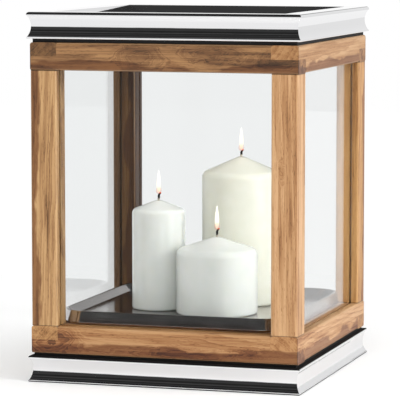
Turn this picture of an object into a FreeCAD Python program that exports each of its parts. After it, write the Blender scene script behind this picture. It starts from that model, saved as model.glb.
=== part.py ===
import FreeCAD, Part

import math
import os

# Candle lantern: a square cage of recycled teak between two polished metal rims, glazed on
# four sides and open on top, with a steel tray that carries three pillar candles.
# Millimetres. +Z is up, +X is right, -Y is the front. The origin is the middle of the
# underside of the bottom rim.

# ---- Driving dimensions: the wooden cage
frame_width = 330.0
frame_depth = 330.0
post_height = 306.4
post_width = 33.0
post_depth = 33.0
rail_height = 33.0
rail_thickness = 33.0
wood_edge_radius = 3.0

# ---- Driving dimensions: glazing
glass_thickness = 4.0
glass_setback = 12.0
groove_depth = 8.0
groove_side_clearance = 1.0
groove_end_clearance = 1.0

# ---- Driving dimensions: corner dowels
dowel_diameter = 8.0
dowel_in_post = 25.0
dowel_recess = 3.0

# ---- Driving dimensions: polished rims
rim_height = 31.5
rim_depth = 27.0
rim_overhang = 3.5
rim_lip_face = 1.1
rim_lip_step = 0.8
rim_lower_round = 1.0
bottom_rim_upper_round = 2.2
top_rim_upper_round = 3.0
rim_hollow = 4.6
rim_wall = 2.5
rim_inner_ease = 1.3
rim_inner_ease_height = 12.0
bottom_neck_height = 3.3
top_neck_height = 4.4
neck_setback = 2.5
key_arm = 60.0
key_thickness = 5.0
key_clearance = 0.3

# ---- Driving dimensions: rim screws
screw_diameter = 3.5
screw_head_diameter = 6.0
screw_head_height = 2.5
screw_slot = 1.0
screw_point = 0.3
screw_from_end = 75.0
bottom_screw_setback = 12.5
top_screw_setback = 19.0
screw_bite = 15.0
screw_hole_clearance = 0.25
access_hole_diameter = 9.0
top_counterbore_depth = 12.0

# ---- Driving dimensions: candle tray
tray_glass_gap = 8.0
tray_post_gap = 0.8
tray_height = 16.5
tray_sheet = 1.5
tray_bend_radius = 1.2
tray_floor_drop = 8.3
tray_brim = 5.5
tray_border = 7.0
tray_hem = 7.0

# ---- Driving dimensions: candles
candle_foot_radius = 3.0
wick_diameter = 3.4
wick_seat = 5.0
CANDLES = {
    "slim": {"centre": (-46.8, -32.5), "diameter": 65.6, "shoulder": 122.5, "peak": 135.5,
             "edge": 5.0, "wick": 8.0},
    "short": {"centre": (33.8, -52.5), "diameter": 99.0, "shoulder": 78.0, "peak": 95.0,
              "edge": 7.0, "wick": 9.0},
    "tall": {"centre": (35.5, 47.5), "diameter": 98.0, "shoulder": 163.5, "peak": 185.0,
             "edge": 7.0, "wick": 7.0},
}

# ---- Levels, from the table upwards
z_bottom_rail = rim_height + bottom_neck_height
z_post = z_bottom_rail + rail_height
z_top_rail = z_post + post_height
z_frame_top = z_top_rail + rail_height
z_top = z_frame_top + top_neck_height + rim_height

# ---- Places that several pieces share
half_width = frame_width / 2
half_depth = frame_depth / 2
inner_width = frame_width - 2 * post_width
inner_depth = frame_depth - 2 * post_depth
groove_width = glass_thickness + 2 * groove_side_clearance
post_centre_x = half_width - post_width / 2
post_centre_y = half_depth - post_depth / 2
dowel_length = rail_height - dowel_recess + dowel_in_post
SIDES = ("front", "right", "rear", "left")
CORNERS = {"front_left": (-1, -1), "front_right": (1, -1), "rear_left": (-1, 1), "rear_right": (1, 1)}

os.makedirs("parts", exist_ok=True)


def vec(x, y, z=0.0):
    """Short name for a FreeCAD vector."""
    return FreeCAD.Vector(x, y, z)


def box(x0, y0, z0, x1, y1, z1):
    """Box between two opposite corners."""
    return Part.makeBox(x1 - x0, y1 - y0, z1 - z0, vec(x0, y0, z0))


def rod(x, y, z0, z1, diameter):
    """Upright cylinder."""
    return Part.makeCylinder(diameter / 2, z1 - z0, vec(x, y, z0))


def export(shape, node):
    """Write one node, after checking that it is whole."""
    if not shape.isValid() or shape.Volume <= 0:
        raise ValueError(f"{node} is not a valid solid")
    shape.exportStep(f"parts/{node}.step")
    print(f"{node}: {len(shape.Solids)} solid(s), {shape.Volume / 1000:.1f} cm3")


def side_place(side):
    """Turn and run of one side: angle about Z, outer face distance, length of the run."""
    turn = {"front": 0, "right": 90, "rear": 180, "left": 270}[side]
    along_x = side in ("front", "rear")
    reach = half_depth if along_x else half_width
    run = frame_width if along_x else frame_depth
    return turn, reach, run


def on_side(shape, side):
    """Move a shape made for the front, with its outer face on y = 0 and inward +Y."""
    turn, reach, _ = side_place(side)
    placed = shape.copy()
    placed.translate(vec(0, -reach))
    placed.rotate(vec(0, 0), vec(0, 0, 1), turn)
    return placed


# ---- Glazing: four panes, and the grooves that they need

def opening_width(side):
    """Clear width between the posts of one side."""
    return inner_width if side in ("front", "rear") else inner_depth


def pane(side):
    """Pane that stands in the bottom groove and reaches into all four grooves."""
    reach_in = groove_depth - groove_end_clearance
    half = opening_width(side) / 2 + reach_in
    y0 = glass_setback - glass_thickness / 2
    z0 = z_post - groove_depth
    z1 = z_top_rail + reach_in
    sheet = box(-half, y0, z0, half, y0 + glass_thickness, z1)
    return on_side(sheet, side)


def pane_groove(side):
    """Everything that is cut away around one pane."""
    half = opening_width(side) / 2 + groove_depth
    y0 = glass_setback - groove_width / 2
    slot = box(-half, y0, z_post - groove_depth, half, y0 + groove_width, z_top_rail + groove_depth)
    return on_side(slot, side)


grooves = [pane_groove(side) for side in SIDES]


def cut_grooves(wood):
    """Cut the grooves of the panes that touch this piece of wood."""
    return wood.cut(grooves)


# ---- Wood: posts, half-lapped rails and the dowels of the corners

def round_long_edges(stick, direction):
    """Round the four long edges of a stick that runs along one axis."""
    long_edges = []
    for edge in stick.Edges:
        tangent = edge.tangentAt(edge.FirstParameter)
        if abs(tangent.dot(direction)) > 0.99:
            long_edges.append(edge)
    return stick.makeFillet(wood_edge_radius, long_edges)


def corner_dowel(corner, level):
    """Dowel that pins a half-lap and runs on into the end of the post."""
    sx, sy = CORNERS[corner]
    if level == "bottom":
        z0 = z_bottom_rail + dowel_recess
    else:
        z0 = z_top_rail - dowel_in_post
    return rod(sx * post_centre_x, sy * post_centre_y, z0, z0 + dowel_length, dowel_diameter)


dowels = {level: [corner_dowel(corner, level) for corner in CORNERS] for level in ("bottom", "top")}


def dowel_hole(corner, level):
    """Hole for one dowel, open at the outer face of the rail."""
    sx, sy = CORNERS[corner]
    if level == "bottom":
        z0, z1 = z_bottom_rail, z_post + dowel_in_post
    else:
        z0, z1 = z_top_rail - dowel_in_post, z_frame_top
    return rod(sx * post_centre_x, sy * post_centre_y, z0, z1, dowel_diameter)


dowel_holes = [dowel_hole(corner, level) for corner in CORNERS for level in ("bottom", "top")]


def post(corner):
    """Upright post, butted between the rails."""
    sx, sy = CORNERS[corner]
    x0, x1 = sorted((sx * half_width, sx * (half_width - post_width)))
    y0, y1 = sorted((sy * half_depth, sy * (half_depth - post_depth)))
    stick = round_long_edges(box(x0, y0, z_post, x1, y1, z_top_rail), vec(0, 0, 1))
    return cut_grooves(stick).cut(dowel_holes)


def rail(side, level):
    """Rail of one side, half-lapped at both ends. The side rails lie over the others."""
    _, _, run = side_place(side)
    z0 = z_bottom_rail if level == "bottom" else z_top_rail
    z1 = z0 + rail_height
    middle = z0 + rail_height / 2
    stick = box(-run / 2, 0, z0, run / 2, rail_thickness, z1)
    stick = round_long_edges(stick, vec(1, 0, 0))
    lap_low, lap_high = (middle, z1) if side in ("front", "rear") else (z0, middle)
    for end in (-1, 1):
        x0, x1 = sorted((end * run / 2, end * (run / 2 - rail_thickness)))
        stick = stick.cut(box(x0, 0, lap_low, x1, rail_thickness, lap_high))
    stick = on_side(stick, side)
    return cut_grooves(stick).cut(dowel_holes)


# ---- Rims: one hollow scotia moulding, mitred at the corners

def edge_rounds(level):
    """Radii of a moulding's two front edges: at its outer face, and at its neck."""
    if level == "bottom":
        return rim_lower_round, bottom_rim_upper_round
    return top_rim_upper_round, rim_lower_round


def edge_arc(height, radius, inward):
    """Quarter round of a front edge at a height; inward is 1 or -1, towards the moulding's middle."""
    near = radius * (1 - math.sqrt(0.5))
    return Part.Arc(vec(0, radius, height), vec(0, near, height + inward * near),
                    vec(0, 0, height + inward * radius)).toShape()


def moulding_outline(level, neck_height):
    """Outer outline of the moulding: (depth from the lip, height from the outer face).

    The inner face leans away from the opening near the outer face, where hands and candles pass.
    """
    outer_round, neck_round = edge_rounds(level)
    bottom = outer_round + rim_lip_face
    top = rim_height - neck_round - rim_lip_face
    neck = rim_overhang + neck_setback
    run = [
        edge_arc(0, outer_round, 1),
        Part.makeLine(vec(0, 0, outer_round), vec(0, 0, bottom)),
        Part.makeLine(vec(0, 0, bottom), vec(0, rim_lip_step, bottom)),
        Part.Arc(vec(0, rim_lip_step, bottom), vec(0, rim_hollow, (bottom + top) / 2),
                 vec(0, rim_lip_step, top)).toShape(),
        Part.makeLine(vec(0, rim_lip_step, top), vec(0, 0, top)),
        Part.makeLine(vec(0, 0, top), vec(0, 0, rim_height - neck_round)),
        edge_arc(rim_height, neck_round, -1),
        Part.makeLine(vec(0, neck_round, rim_height), vec(0, neck, rim_height)),
        Part.makeLine(vec(0, neck, rim_height), vec(0, neck, rim_height + neck_height)),
        Part.makeLine(vec(0, neck, rim_height + neck_height), vec(0, rim_depth, rim_height + neck_height)),
        Part.makeLine(vec(0, rim_depth, rim_height + neck_height), vec(0, rim_depth, rim_inner_ease_height)),
        Part.makeLine(vec(0, rim_depth, rim_inner_ease_height), vec(0, rim_depth - rim_inner_ease, 0)),
        Part.makeLine(vec(0, rim_depth - rim_inner_ease, 0), vec(0, outer_round, 0)),
    ]
    return Part.Face(Part.Wire(Part.__sortEdges__(run)))


def cavity_box(length, neck_height, clearance=0.0):
    """Straight inside space of the moulding, less a clearance all round."""
    y0 = rim_hollow + rim_wall + clearance
    y1 = rim_depth - rim_wall - clearance
    z0 = rim_wall + clearance
    z1 = rim_height - rim_wall + neck_height - clearance
    return box(-length / 2, y0, z0, length / 2, y1, z1)


def rim_length(side):
    """Outer length of one rim moulding, lip to lip."""
    _, _, run = side_place(side)
    return run + 2 * rim_overhang


def mitre_wedge(length, height):
    """Plan outline with 45 degree ends that trims a straight moulding."""
    half = length / 2
    corners = [vec(-half, 0), vec(half, 0), vec(half - rim_depth, rim_depth), vec(rim_depth - half, rim_depth)]
    return Part.Face(Part.makePolygon(corners + corners[:1])).extrude(vec(0, 0, height))


def rim_screw_places(side, level):
    """Places of the two screws of one side: (along the side, inward from the wood's face)."""
    _, _, run = side_place(side)
    setback = bottom_screw_setback if level == "bottom" else top_screw_setback
    return [(end * (run / 2 - screw_from_end), setback) for end in (-1, 1)]


def place_rim(shape, side, level):
    """Put a moulding made on the table on its side: the top rim is the same one upside down."""
    placed = shape.copy()
    if level == "top":
        placed = placed.mirror(vec(0, 0, 0), vec(0, 0, 1))
        placed.translate(vec(0, 0, z_top))
    placed.translate(vec(0, -rim_overhang))
    return on_side(placed, side)


def rim(side, level):
    """One mitred rim moulding with the holes of its screws."""
    neck_height = bottom_neck_height if level == "bottom" else top_neck_height
    length = rim_length(side)
    full = rim_height + neck_height
    bar = moulding_outline(level, neck_height).extrude(vec(length, 0, 0))
    bar.translate(vec(-length / 2, 0))
    bar = bar.cut(cavity_box(length, neck_height)).common(mitre_wedge(length, full))
    for x, setback in rim_screw_places(side, level):
        y = rim_overhang + setback
        hole = screw_diameter + 2 * screw_hole_clearance
        bar = bar.cut(rod(x, y, full - rim_wall, full, hole))
        if level == "bottom":
            bar = bar.cut(rod(x, y, 0, rim_wall, access_hole_diameter))
    return place_rim(bar.Solids[0], side, level)


def corner_keys(level):
    """Four angle keys that hold the mitres together inside the mouldings."""
    neck_height = bottom_neck_height if level == "bottom" else top_neck_height
    keys = []
    for side, following in zip(SIDES, SIDES[1:] + SIDES[:1]):
        arms = []
        for name, end in ((side, 1), (following, -1)):
            length = rim_length(name)
            arm = cavity_box(length, neck_height, key_clearance)
            outside = rim_hollow + rim_wall + key_clearance
            far = end * length / 2
            near = end * (length / 2 - outside - key_arm)
            x0, x1 = sorted((far, near))
            strip = box(x0, outside, 0, x1, outside + key_thickness, rim_height + neck_height)
            arm = arm.common(strip)
            wedge = mitre_wedge(length, rim_height + neck_height)
            arms.append(place_rim(arm.common(wedge), name, level))
        keys.append(arms[0].fuse(arms[1]).removeSplitter().Solids[0])
    return Part.makeCompound(keys)


# ---- Rim screws

def rim_screw(side, level, x, y):
    """Slotted screw: up into a bottom rail, or up through a top rail into the rim."""
    if level == "bottom":
        seat = rim_height + bottom_neck_height - rim_wall
        tip = z_bottom_rail + screw_bite
    else:
        seat = z_top_rail + top_counterbore_depth
        tip = z_frame_top + rim_wall + screw_diameter
    shank = rod(x, y, seat, tip, screw_diameter)
    head = rod(x, y, seat - screw_head_height, seat, screw_head_diameter)
    slot = box(x - screw_head_diameter, y - screw_slot / 2, seat - screw_head_height,
               x + screw_head_diameter, y + screw_slot / 2, seat - screw_head_height / 2)
    point = Part.makeCone(screw_diameter / 2, screw_point, screw_diameter, vec(x, y, tip))
    screw = head.fuse([shank, point]).removeSplitter().cut(slot)
    return on_side(screw, side)


def rim_screw_hole(side, level, x, y):
    """Hole in the rail for one rim screw."""
    if level == "bottom":
        depth = screw_bite + screw_diameter
        return on_side(rod(x, y, z_bottom_rail, z_bottom_rail + depth, screw_diameter), side)
    clear = screw_diameter + 2 * screw_hole_clearance
    head_clear = screw_head_diameter + 2 * screw_hole_clearance
    hole = rod(x, y, z_top_rail, z_frame_top, clear)
    bore = rod(x, y, z_top_rail, z_top_rail + top_counterbore_depth, head_clear)
    return on_side(hole.fuse(bore), side)


# ---- Candle tray: bent sheet with a standing edge, a brim, a sloping border and a flat floor

def bend_points(points, radii):
    """Edges through the points, in the XZ plane, with a tangent arc at each inner point."""
    edges = []
    start = vec(points[0][0], 0, points[0][1])
    for before, corner, after, radius in zip(points, points[1:], points[2:], radii):
        a = vec(before[0], 0, before[1])
        b = vec(corner[0], 0, corner[1])
        c = vec(after[0], 0, after[1])
        towards_a = (a - b).normalize()
        towards_c = (c - b).normalize()
        half_angle = towards_a.getAngle(towards_c) / 2
        leg = radius / math.tan(half_angle)
        first = b + towards_a * leg
        last = b + towards_c * leg
        bisector = (towards_a + towards_c).normalize()
        middle = b + bisector * (radius / math.sin(half_angle) - radius)
        edges.append(Part.makeLine(start, first))
        edges.append(Part.Arc(first, middle, last).toShape())
        start = last
    edges.append(Part.makeLine(start, vec(points[-1][0], 0, points[-1][1])))
    return edges


def offset_points(points, distance):
    """The same polyline moved to its right by a distance, corners mitred."""
    moved = []
    for i, point in enumerate(points):
        here = vec(point[0], 0, point[1])
        normals = []
        for a, b in ((i - 1, i), (i, i + 1)):
            if a >= 0 and b < len(points):
                run = vec(points[b][0] - points[a][0], 0, points[b][1] - points[a][1]).normalize()
                normals.append(vec(run.z, 0, -run.x))
        mean = sum(normals[1:], normals[0]).normalize()
        moved_point = here + mean * (distance / mean.dot(normals[0]))
        moved.append((moved_point.x, moved_point.z))
    return moved


def tray():
    """Candle tray, standing on the bottom rails inside the glass."""
    half_x = half_width - glass_setback - glass_thickness / 2 - tray_glass_gap
    half_y = half_depth - glass_setback - glass_thickness / 2 - tray_glass_gap
    over_x = half_x - inner_width / 2
    over_y = half_y - inner_depth / 2
    # The corner arc clears the inner edge of the post: the root of (R-a)^2 + (R-b)^2 = (R+gap)^2.
    linear = over_x + over_y + tray_post_gap
    constant = over_x ** 2 + over_y ** 2 - tray_post_gap ** 2
    corner = linear + math.sqrt(linear ** 2 - constant)
    z0 = z_post
    z1 = z_post + tray_height
    floor = z1 - tray_floor_drop
    border_end = tray_brim + tray_border
    inner_end = border_end + tray_hem
    # Path of the outer skin, as (distance inward from the edge, height): hem, standing edge,
    # brim, sloping border, floor.
    skin = [(tray_hem, z0), (0, z0), (0, z1), (tray_brim, z1), (border_end, floor), (inner_end, floor)]
    inside = offset_points(skin, tray_sheet)
    wide = tray_bend_radius + tray_sheet
    outer_edges = bend_points(skin, (wide, wide, wide, tray_bend_radius))
    inner_edges = bend_points(inside, (tray_bend_radius, tray_bend_radius, tray_bend_radius, wide))
    ends = [Part.makeLine(vec(skin[0][0], 0, skin[0][1]), vec(inside[0][0], 0, inside[0][1])),
            Part.makeLine(vec(skin[-1][0], 0, skin[-1][1]), vec(inside[-1][0], 0, inside[-1][1]))]
    section = Part.Face(Part.Wire(Part.__sortEdges__(outer_edges + inner_edges + ends)))
    pieces = []
    for turn, reach, half_run in ((0, half_x, half_y), (90, half_y, half_x), (180, half_x, half_y),
                                  (270, half_y, half_x)):
        # The section lies at the -X side of the tray and runs along Y.
        straight = section.copy()
        straight.translate(vec(-reach, -(half_run - corner)))
        straight = straight.extrude(vec(0, 2 * (half_run - corner)))
        pieces.append(straight.rotate(vec(0, 0), vec(0, 0, 1), turn))
        bend = section.copy()
        bend.translate(vec(-reach, -(half_run - corner)))
        centre = vec(corner - reach, -(half_run - corner))
        bend = bend.revolve(centre, vec(0, 0, 1), 90)
        pieces.append(bend.rotate(vec(0, 0), vec(0, 0, 1), turn))
    flat_x = half_x - inner_end
    flat_y = half_y - inner_end
    plate = box(-flat_x, -flat_y, floor - tray_sheet, flat_x, flat_y, floor)
    uprights = [edge for edge in plate.Edges if abs(edge.tangentAt(edge.FirstParameter).z) > 0.99]
    plate = plate.makeFillet(corner - inner_end, uprights)
    return pieces[0].fuse(pieces[1:] + [plate]).removeSplitter().Solids[0], floor


# ---- Candles

def candle(sizes, floor):
    """Pillar candle with a low cone on top and a bore for its wick."""
    radius = sizes["diameter"] / 2
    bore = wick_diameter / 2
    cx, cy = sizes["centre"]
    outline = [(0, 0), (radius, 0), (radius, sizes["shoulder"]), (0, sizes["peak"])]
    edges = bend_points(outline, (candle_foot_radius, sizes["edge"]))
    edges.append(Part.makeLine(vec(0, 0, sizes["peak"]), vec(0, 0, 0)))
    body = Part.Face(Part.Wire(edges)).revolve(vec(0, 0, 0), vec(0, 0, 1), 360)
    body = body.cut(Part.makeCylinder(bore, sizes["peak"], vec(0, 0, wick_seat)))
    body.translate(vec(cx, cy, floor))
    return body.Solids[0]


def wick(sizes, floor):
    """Wick, rounded at the tip, standing in the bore of its candle."""
    cx, cy = sizes["centre"]
    radius = wick_diameter / 2
    top = sizes["peak"] + sizes["wick"]
    outline = [(0, wick_seat), (radius, wick_seat), (radius, top), (0, top)]
    edges = [Part.makeLine(vec(x0, 0, z0), vec(x1, 0, z1))
             for (x0, z0), (x1, z1) in zip(outline, outline[1:] + outline[:1])]
    body = Part.Face(Part.Wire(edges)).revolve(vec(0, 0, 0), vec(0, 0, 1), 360)
    top_edges = [edge for edge in body.Edges if edge.BoundBox.ZMin > top - 0.01]
    body = body.makeFillet(radius * 0.8, top_edges)
    body.translate(vec(cx, cy, floor))
    return body.Solids[0]


# ---- Build and write every node

for name in CORNERS:
    export(post(name), f"post_{name}")

for tier in ("bottom", "top"):
    rail_holes = []
    screws = []
    for name in SIDES:
        for along, inward in rim_screw_places(name, tier):
            rail_holes.append(rim_screw_hole(name, tier, along, inward))
            screws.append(rim_screw(name, tier, along, inward))
    for name in SIDES:
        export(rail(name, tier).cut(rail_holes).Solids[0], f"{tier}_rail_{name}")
        export(rim(name, tier), f"{tier}_rim_{name}")
    export(Part.makeCompound(screws), f"{tier}_rim_screws")
    export(Part.makeCompound(dowels[tier]), f"{tier}_corner_dowels")
    export(corner_keys(tier), f"{tier}_rim_corner_keys")

for name in SIDES:
    export(pane(name), f"glass_{name}")

tray_shape, tray_floor_level = tray()
export(tray_shape, "candle_tray")

for name, sizes in CANDLES.items():
    export(candle(sizes, tray_floor_level), f"candle_{name}")
    export(wick(sizes, tray_floor_level), f"wick_{name}")
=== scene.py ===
"""Looks of the candle lantern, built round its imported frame.

Each sub-assembly is a class that dresses its CAD nodes, or models finer pieces in their place. Sizes are
in metres unless a name ends in mm, and every place comes from the frame.
"""
import logging
import math
from collections.abc import Callable, Iterator
from contextlib import contextmanager
from dataclasses import dataclass, field
from enum import Enum

import bmesh
import bpy
from mathutils import Matrix, Vector


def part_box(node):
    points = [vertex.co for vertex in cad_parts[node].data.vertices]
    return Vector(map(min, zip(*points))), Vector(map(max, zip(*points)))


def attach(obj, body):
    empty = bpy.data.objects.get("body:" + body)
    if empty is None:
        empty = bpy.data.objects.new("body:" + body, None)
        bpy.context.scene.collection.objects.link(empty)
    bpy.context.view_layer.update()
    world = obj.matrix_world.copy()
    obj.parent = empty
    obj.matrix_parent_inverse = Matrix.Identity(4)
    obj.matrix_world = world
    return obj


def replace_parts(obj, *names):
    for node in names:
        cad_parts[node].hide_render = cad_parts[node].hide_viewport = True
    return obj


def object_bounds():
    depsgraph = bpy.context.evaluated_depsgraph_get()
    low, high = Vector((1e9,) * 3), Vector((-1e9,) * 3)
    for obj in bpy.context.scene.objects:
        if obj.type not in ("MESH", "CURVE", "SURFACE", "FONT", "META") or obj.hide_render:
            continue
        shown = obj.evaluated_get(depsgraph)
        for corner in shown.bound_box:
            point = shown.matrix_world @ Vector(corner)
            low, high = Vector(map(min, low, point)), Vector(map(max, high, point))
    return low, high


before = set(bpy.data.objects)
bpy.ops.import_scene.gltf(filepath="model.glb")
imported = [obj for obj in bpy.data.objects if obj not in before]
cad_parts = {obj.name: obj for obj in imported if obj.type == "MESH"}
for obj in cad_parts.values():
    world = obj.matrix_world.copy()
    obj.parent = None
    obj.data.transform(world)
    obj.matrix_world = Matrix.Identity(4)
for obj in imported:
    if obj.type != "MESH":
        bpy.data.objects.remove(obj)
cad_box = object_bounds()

log = logging.getLogger("candle_lantern")

Tree = bpy.types.NodeTree
Socket = bpy.types.NodeSocket
Object = bpy.types.Object

MM = 0.001
PER_M = 1000.0
ONE_LEVEL = 0.01 * MM
SIDES = ("front", "rear", "left", "right")


# ---- Shared helpers

def linear(hex_colour: str) -> tuple[float, float, float, float]:
    """Turns an sRGB hex colour to the linear colour that shaders take.

    Args:
        hex_colour: a colour such as "#C08040".

    Returns:
        Linear red, green and blue, with an alpha of 1.
    """
    parts = [int(hex_colour[i:i + 2], 16) / 255 for i in (1, 3, 5)]
    red, green, blue = (p / 12.92 if p <= 0.04045 else ((p + 0.055) / 1.055) ** 2.4 for p in parts)
    return red, green, blue, 1.0


def add(tree: Tree, kind: str, links: dict | None = None, output: int | str = 0,
        stops: tuple[tuple[float, str], ...] = (), **settings: object) -> Socket:
    """Adds a node with its settings and links.

    Args:
        tree: the node tree that gets the node.
        kind: the node's type, without the leading ShaderNode.
        links: for each input, by name or number, the socket that feeds it, its own value or its hex colour.
        output: the output to return, by name or number.
        stops: places and hex colours, for a colour ramp.
        settings: the node's other properties.

    Returns:
        The chosen output socket of the new node.
    """
    node = tree.nodes.new("ShaderNode" + kind)
    for key, value in settings.items():
        setattr(node, key, value)
    if stops:
        node.color_ramp.elements.remove(node.color_ramp.elements[-1])
    for place, colour in stops:
        stop = node.color_ramp.elements[0] if place == 0 else node.color_ramp.elements.new(place)
        stop.color = linear(colour)
    for key, value in (links or {}).items():
        if isinstance(value, Socket):
            tree.links.new(value, node.inputs[key])
        else:
            node.inputs[key].default_value = linear(value) if isinstance(value, str) else value
    return node.outputs[output]


def choose(piece: Object) -> None:
    """Selects one piece alone and makes it active.

    Args:
        piece: the object.
    """
    bpy.ops.object.select_all(action="DESELECT")
    piece.select_set(True)
    bpy.context.view_layer.objects.active = piece


@contextmanager
def editing(piece: Object) -> Iterator[None]:
    """Opens one piece in edit mode with nothing selected, and leaves edit mode at the end.

    Args:
        piece: the mesh object to edit.
    """
    choose(piece)
    bpy.ops.object.mode_set(mode="EDIT")
    bpy.ops.mesh.select_all(action="DESELECT")
    yield
    bpy.ops.object.mode_set(mode="OBJECT")


class Part(Enum):
    """What a selection picks."""

    VERTS = "VERT"
    EDGES = "EDGE"
    FACES = "FACE"


def pick(part: Part,
         test: Callable[[bmesh.types.BMVert | bmesh.types.BMEdge | bmesh.types.BMFace], bool]) -> None:
    """Selects what passes a test on the piece being edited, and nothing else.

    Args:
        part: whether corners, edges or faces are tested.
        test: says whether an element is selected.
    """
    bpy.ops.mesh.select_all(action="DESELECT")
    bpy.ops.mesh.select_mode(type=part.value)
    mesh = bmesh.from_edit_mesh(bpy.context.edit_object.data)
    pool = {Part.VERTS: mesh.verts, Part.EDGES: mesh.edges, Part.FACES: mesh.faces}[part]
    for element in [element for element in pool if test(element)]:
        element.select_set(True)
    mesh.select_flush_mode()
    bmesh.update_edit_mesh(bpy.context.edit_object.data)


def named(piece: Object, name: str) -> Object:
    """Names a new piece and its mesh alike, and puts its place into its mesh.

    Args:
        piece: the new piece, which is the only one selected.
        name: its name.

    Returns:
        The same piece.
    """
    piece.name = name
    piece.data.name = name
    choose(piece)
    bpy.ops.object.transform_apply(location=True, rotation=True, scale=True)
    return piece


def apply_modifier(piece: Object, kind: str, **settings: object) -> None:
    """Adds one modifier to a piece and applies it.

    Args:
        piece: the mesh object.
        kind: the modifier's type.
        settings: the modifier's properties.
    """
    choose(piece)
    modifier = piece.modifiers.new(kind.lower(), kind)
    for key, value in settings.items():
        setattr(modifier, key, value)
    bpy.ops.object.modifier_apply(modifier=modifier.name)


def smooth(piece: Object, degrees: float = 35.0) -> None:
    """Shades a piece smooth, apart from its sharp edges.

    Args:
        piece: the mesh object.
        degrees: edges that turn by more than this stay sharp.
    """
    choose(piece)
    bpy.ops.object.shade_smooth_by_angle(angle=math.radians(degrees))


# ---- Finishes

@dataclass(frozen=True)
class Finish:
    """A finish: what a surface is made of and how it was worked."""

    name: str

    def surface(self, tree: Tree, place: Socket) -> dict[str, object]:
        """Adds the nodes that make the finish.

        Args:
            tree: the material's node tree.
            place: the place on the piece, in metres.

        Returns:
            What feeds or sets each input of the Principled shader.
        """
        return {}

    def over(self, tree: Tree, place: Socket, shaded: Socket) -> Socket:
        """Returns the shader that reaches the surface, which most finishes leave as it is."""
        return shaded

    def material(self) -> bpy.types.Material:
        """Returns the finish's material, and makes it the first time.

        Returns:
            The material, with a Principled shader that surface() feeds.
        """
        if self.name in bpy.data.materials:
            return bpy.data.materials[self.name]
        made = bpy.data.materials.new(self.name)
        made.use_nodes = True
        tree = made.node_tree
        tree.nodes.clear()
        place = add(tree, "TexCoord", output="Object")
        shaded = add(tree, "BsdfPrincipled", self.surface(tree, place))
        end = tree.nodes.new("ShaderNodeOutputMaterial")
        tree.links.new(self.over(tree, place, shaded), end.inputs["Surface"])
        return made

    def dress(self, *pieces: Object) -> None:
        """Gives every material slot of these pieces this finish."""
        for piece in pieces:
            if not piece.material_slots:
                piece.data.materials.append(self.material())
            for place in piece.material_slots:
                place.material = self.material()


class Grain(Enum):
    """The way a stick's grain runs, as the turn that brings it upright."""

    ALONG_X = (0.0, -math.pi / 2, 0.0)
    ALONG_Y = (math.pi / 2, 0.0, 0.0)
    ALONG_Z = (0.0, 0.0, 0.0)

    def turn(self) -> Matrix:
        """Returns the turn that brings the grain upright."""
        return Matrix.Rotation(self.value[0], 3, "X") @ Matrix.Rotation(self.value[1], 3, "Y")


class Tone(Enum):
    """How dark a stick of reclaimed teak is: early wood, body, late wood and the darkest streaks."""

    GOLDEN = ("#DDB586", "#CBA070", "#B08152", "#6E4A2A")
    HONEY = ("#D2A97A", "#BD9264", "#9A7048", "#5B3C22")
    RUSSET = ("#DEAE7E", "#CC9866", "#A76D40", "#6B4023")
    BROWN = ("#B28A5E", "#96704A", "#755232", "#45301D")
    DARK = ("#8E6D4A", "#765839", "#5A4029", "#33231A")


@dataclass(frozen=True)
class Knot:
    """A knot, burl or dark streak: its place from the stick's middle, its radius and how drawn out it is."""

    across_mm: tuple[float, float]
    along_mm: float
    radius_mm: float
    dark: float = 0.35
    squeeze: float = 0.62


@dataclass(frozen=True)
class Stick:
    """One stick of the timber frame: its node and how its wood differs from the others'."""

    node: str
    grain: Grain
    tone: Tone
    tint: str
    seed: float
    ring_mm: float
    pith_mm: tuple[float, float]
    lean: tuple[float, float]
    wave_mm: float
    knots: tuple[Knot, ...] = ()
    heart: tuple[float, float, float] = (0.0, 0.0, 99.0)


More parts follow.
